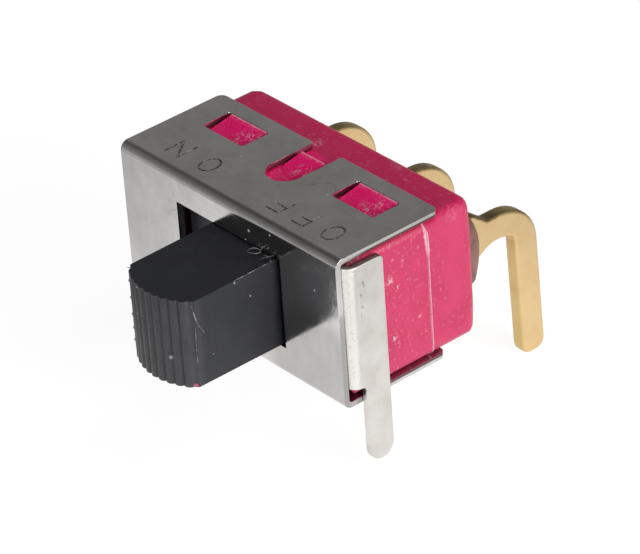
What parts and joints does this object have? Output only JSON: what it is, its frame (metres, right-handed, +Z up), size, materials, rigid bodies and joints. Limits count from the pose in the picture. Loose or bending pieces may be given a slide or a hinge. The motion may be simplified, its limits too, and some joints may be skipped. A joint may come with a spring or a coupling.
{
  "type": "slide switch",
  "caption": "Miniature right-angle slide switch: folded metal frame, moulded case, ribbed sliding actuator, rocker contact inside and bent terminals behind.",
  "frame": {"origin": "on the circuit board's top face, under the middle of the frame, midway between the two support legs", "axes": "+X along the actuator's travel, +Y from the front plate back to the terminals, +Z up from the board"},
  "size_m": [0.0134, 0.0163, 0.0097],
  "materials": {
    "bright_plated_sheet": "bright plated sheet, nearly a mirror, with fine rolling marks",
    "tinned_sheet": "pale satin tin plate with a few pits",
    "red_moulding": "semi-gloss moulded plastic with scuffs and white specks",
    "sealing_resin": "glossy brown potting resin",
    "black_nylon": "satin black moulding with flash at its ribs",
    "bare_brass": "turned brass",
    "spring_wire": "bright drawn wire",
    "contact_plating": "smooth gold plating",
    "terminal_plating": "pale gold plating, satin, with sheared edges"
  },
  "bodies": {
    "switch_body": {"housing": "bright_plated_sheet", "support_bracket": "tinned_sheet", "case": "red_moulding", "terminal_seal": "sealing_resin", "terminal_left": "terminal_plating", "terminal_common": "terminal_plating", "terminal_right": "terminal_plating"},
    "slider": {"actuator": "black_nylon", "plunger_spring": "spring_wire"},
    "plunger": {"plunger": "bare_brass"},
    "rocker": {"rocker_contact": "contact_plating"}
  },
  "joints": [
    {"name": "actuator_slide", "type": "slide", "parent": "switch_body", "child": "slider", "axis": [1, 0, 0], "range_m": [-0.00196, 0]},
    {"name": "rocker_tip", "type": "hinge", "parent": "switch_body", "child": "rocker", "pos_m": [0, 0.00208, 0.00318], "axis": [0, 0, 1], "range_deg": [-8, 0]},
    {"name": "plunger_slide", "type": "slide", "parent": "slider", "child": "plunger", "axis": [0, -1, 0], "range_m": [0, 0.0003], "stiffness_N_per_m": 200, "springref_m": -0.0005, "deforming": ["plunger_spring"]}
  ],
  "couplings": [
    {"joint": "rocker_tip", "follows": "actuator_slide", "rad_per_m": 71.24}
  ]
}
